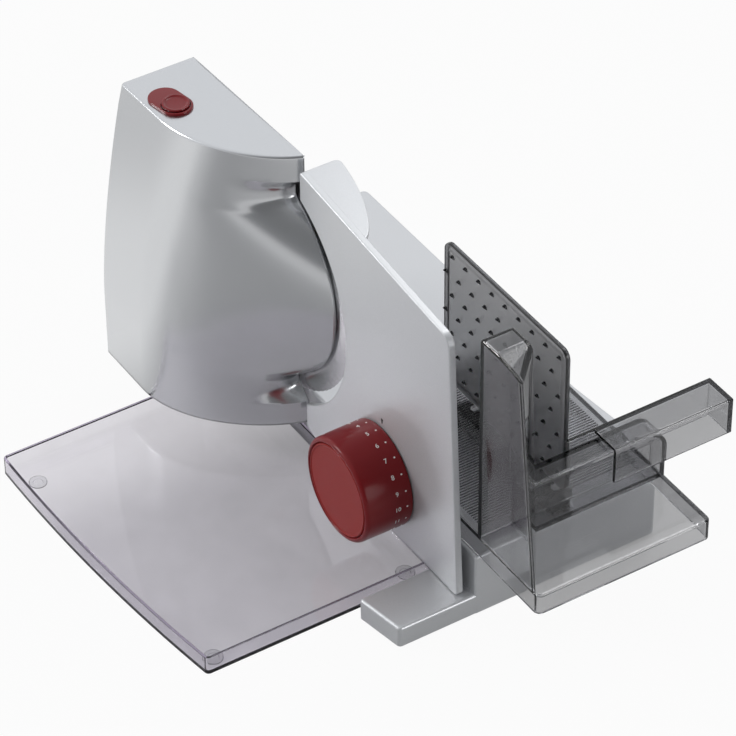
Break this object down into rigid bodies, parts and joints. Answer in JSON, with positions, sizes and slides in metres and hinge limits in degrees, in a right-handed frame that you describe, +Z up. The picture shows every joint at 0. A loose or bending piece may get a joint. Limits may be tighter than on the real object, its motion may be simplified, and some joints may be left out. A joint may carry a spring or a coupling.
{
  "type": "electric food slicer",
  "caption": "Electric food slicer: motor tower with round blade, stop plate set by a dial, sliding carriage with thumb guard and spiked pusher, slice tray.",
  "frame": {"origin": "under the middle of the whole machine at rest, on the table", "axes": "+Z up, +Y along the carriage's stroke towards the motor tower's back, +X across the cut towards the food side"},
  "size_m": [0.3314, 0.3824, 0.221],
  "materials": {
    "silver_paint": "fine metallic silver paint",
    "smoke_plastic": "smoke-tinted clear plastic",
    "tray_plastic": "lightly tinted clear plastic",
    "red_plastic": "glossy red",
    "blade_steel": "ground stainless steel",
    "bright_steel": "turned steel",
    "black_plastic": "moulded black",
    "white_plastic": "natural nylon",
    "bronze": "sintered bronze",
    "copper": "copper",
    "rubber": "black rubber"
  },
  "bodies": {
    "base": {"base_shell": "silver_paint", "bottom_cover": "black_plastic", "cover_screws": "bright_steel", "rubber_feet": "rubber", "carriage_rail": "bright_steel", "guide_bushes": "bronze", "cam_follower": "bright_steel", "cord_gland": "black_plastic", "terminal_block": "white_plastic", "motor_housing": "silver_paint", "gear_plate": "bright_steel", "housing_screws": "bright_steel", "shaft_bush": "bronze", "motor_bracket": "bright_steel", "bracket_screws": "bright_steel", "motor_can": "bright_steel", "motor_magnets": "black_plastic", "motor_end_bell": "black_plastic", "brush_holders": "copper", "worm_bush": "bronze", "switch_bezel": "red_plastic", "microswitch": "black_plastic"},
    "blade": {"blade": "blade_steel", "blade_hub": "black_plastic", "blade_shaft": "bright_steel", "worm_wheel": "white_plastic", "shaft_circlip": "bright_steel"},
    "blade_lock": {"blade_lock": "black_plastic"},
    "rotor": {"rotor_shaft": "bright_steel", "worm": "bright_steel", "armature": "bright_steel", "commutator": "copper"},
    "stop_plate": {"stop_plate": "silver_paint", "guide_rods": "bright_steel", "knob_axle": "bright_steel", "axle_screw": "bright_steel"},
    "dial": {"knob": "red_plastic", "knob_face": "red_plastic", "cam_drum": "white_plastic"},
    "carriage": {"carriage": "smoke_plastic", "thumb_guard": "smoke_plastic", "carriage_runner": "black_plastic", "runner_screws": "bright_steel"},
    "pusher": {"pusher_plate": "smoke_plastic", "pusher_spikes": "smoke_plastic", "pusher_arm": "smoke_plastic"},
    "tray": {"slice_tray": "tray_plastic", "tray_pads": "tray_plastic"},
    "switch": {"switch_button": "red_plastic"}
  },
  "joints": [
    {"name": "blade_spin", "type": "hinge", "parent": "base", "child": "blade", "pos_m": [0.00175, 0.08125, 0.121], "axis": [1, 0, 0], "continuous": true},
    {"name": "blade_lock_turn", "type": "hinge", "parent": "blade", "child": "blade_lock", "pos_m": [0.00175, 0.08125, 0.121], "axis": [1, 0, 0], "range_deg": [0, 90]},
    {"name": "rotor_spin", "type": "hinge", "parent": "base", "child": "rotor", "pos_m": [-0.02025, 0.08125, 0.1425], "axis": [0, 1, 0], "continuous": true},
    {"name": "stop_plate_slide", "type": "slide", "parent": "base", "child": "stop_plate", "axis": [1, 0, 0], "range_m": [-0.013, 0.005]},
    {"name": "dial_turn", "type": "hinge", "parent": "stop_plate", "child": "dial", "pos_m": [0.00175, -0.05075, 0.055], "axis": [1, 0, 0], "range_deg": [-234.5, 90.5]},
    {"name": "carriage_slide", "type": "slide", "parent": "base", "child": "carriage", "axis": [0, 1, 0], "range_m": [0, 0.15]},
    {"name": "pusher_slide", "type": "slide", "parent": "carriage", "child": "pusher", "axis": [1, 0, 0], "range_m": [-0.04, 0.03]},
    {"name": "tray_slide", "type": "slide", "parent": "base", "child": "tray", "axis": [-1, 0, 0], "range_m": [0, 0.15]},
    {"name": "switch_press", "type": "slide", "parent": "base", "child": "switch", "axis": [0, 0, -1], "range_m": [0, 0.0015], "stiffness_N_per_m": 600}
  ],
  "couplings": [
    {"joint": "rotor_spin", "follows": "blade_spin", "ratio": 22},
    {"joint": "dial_turn", "follows": "stop_plate_slide", "rad_per_m": 314.16}
  ]
}
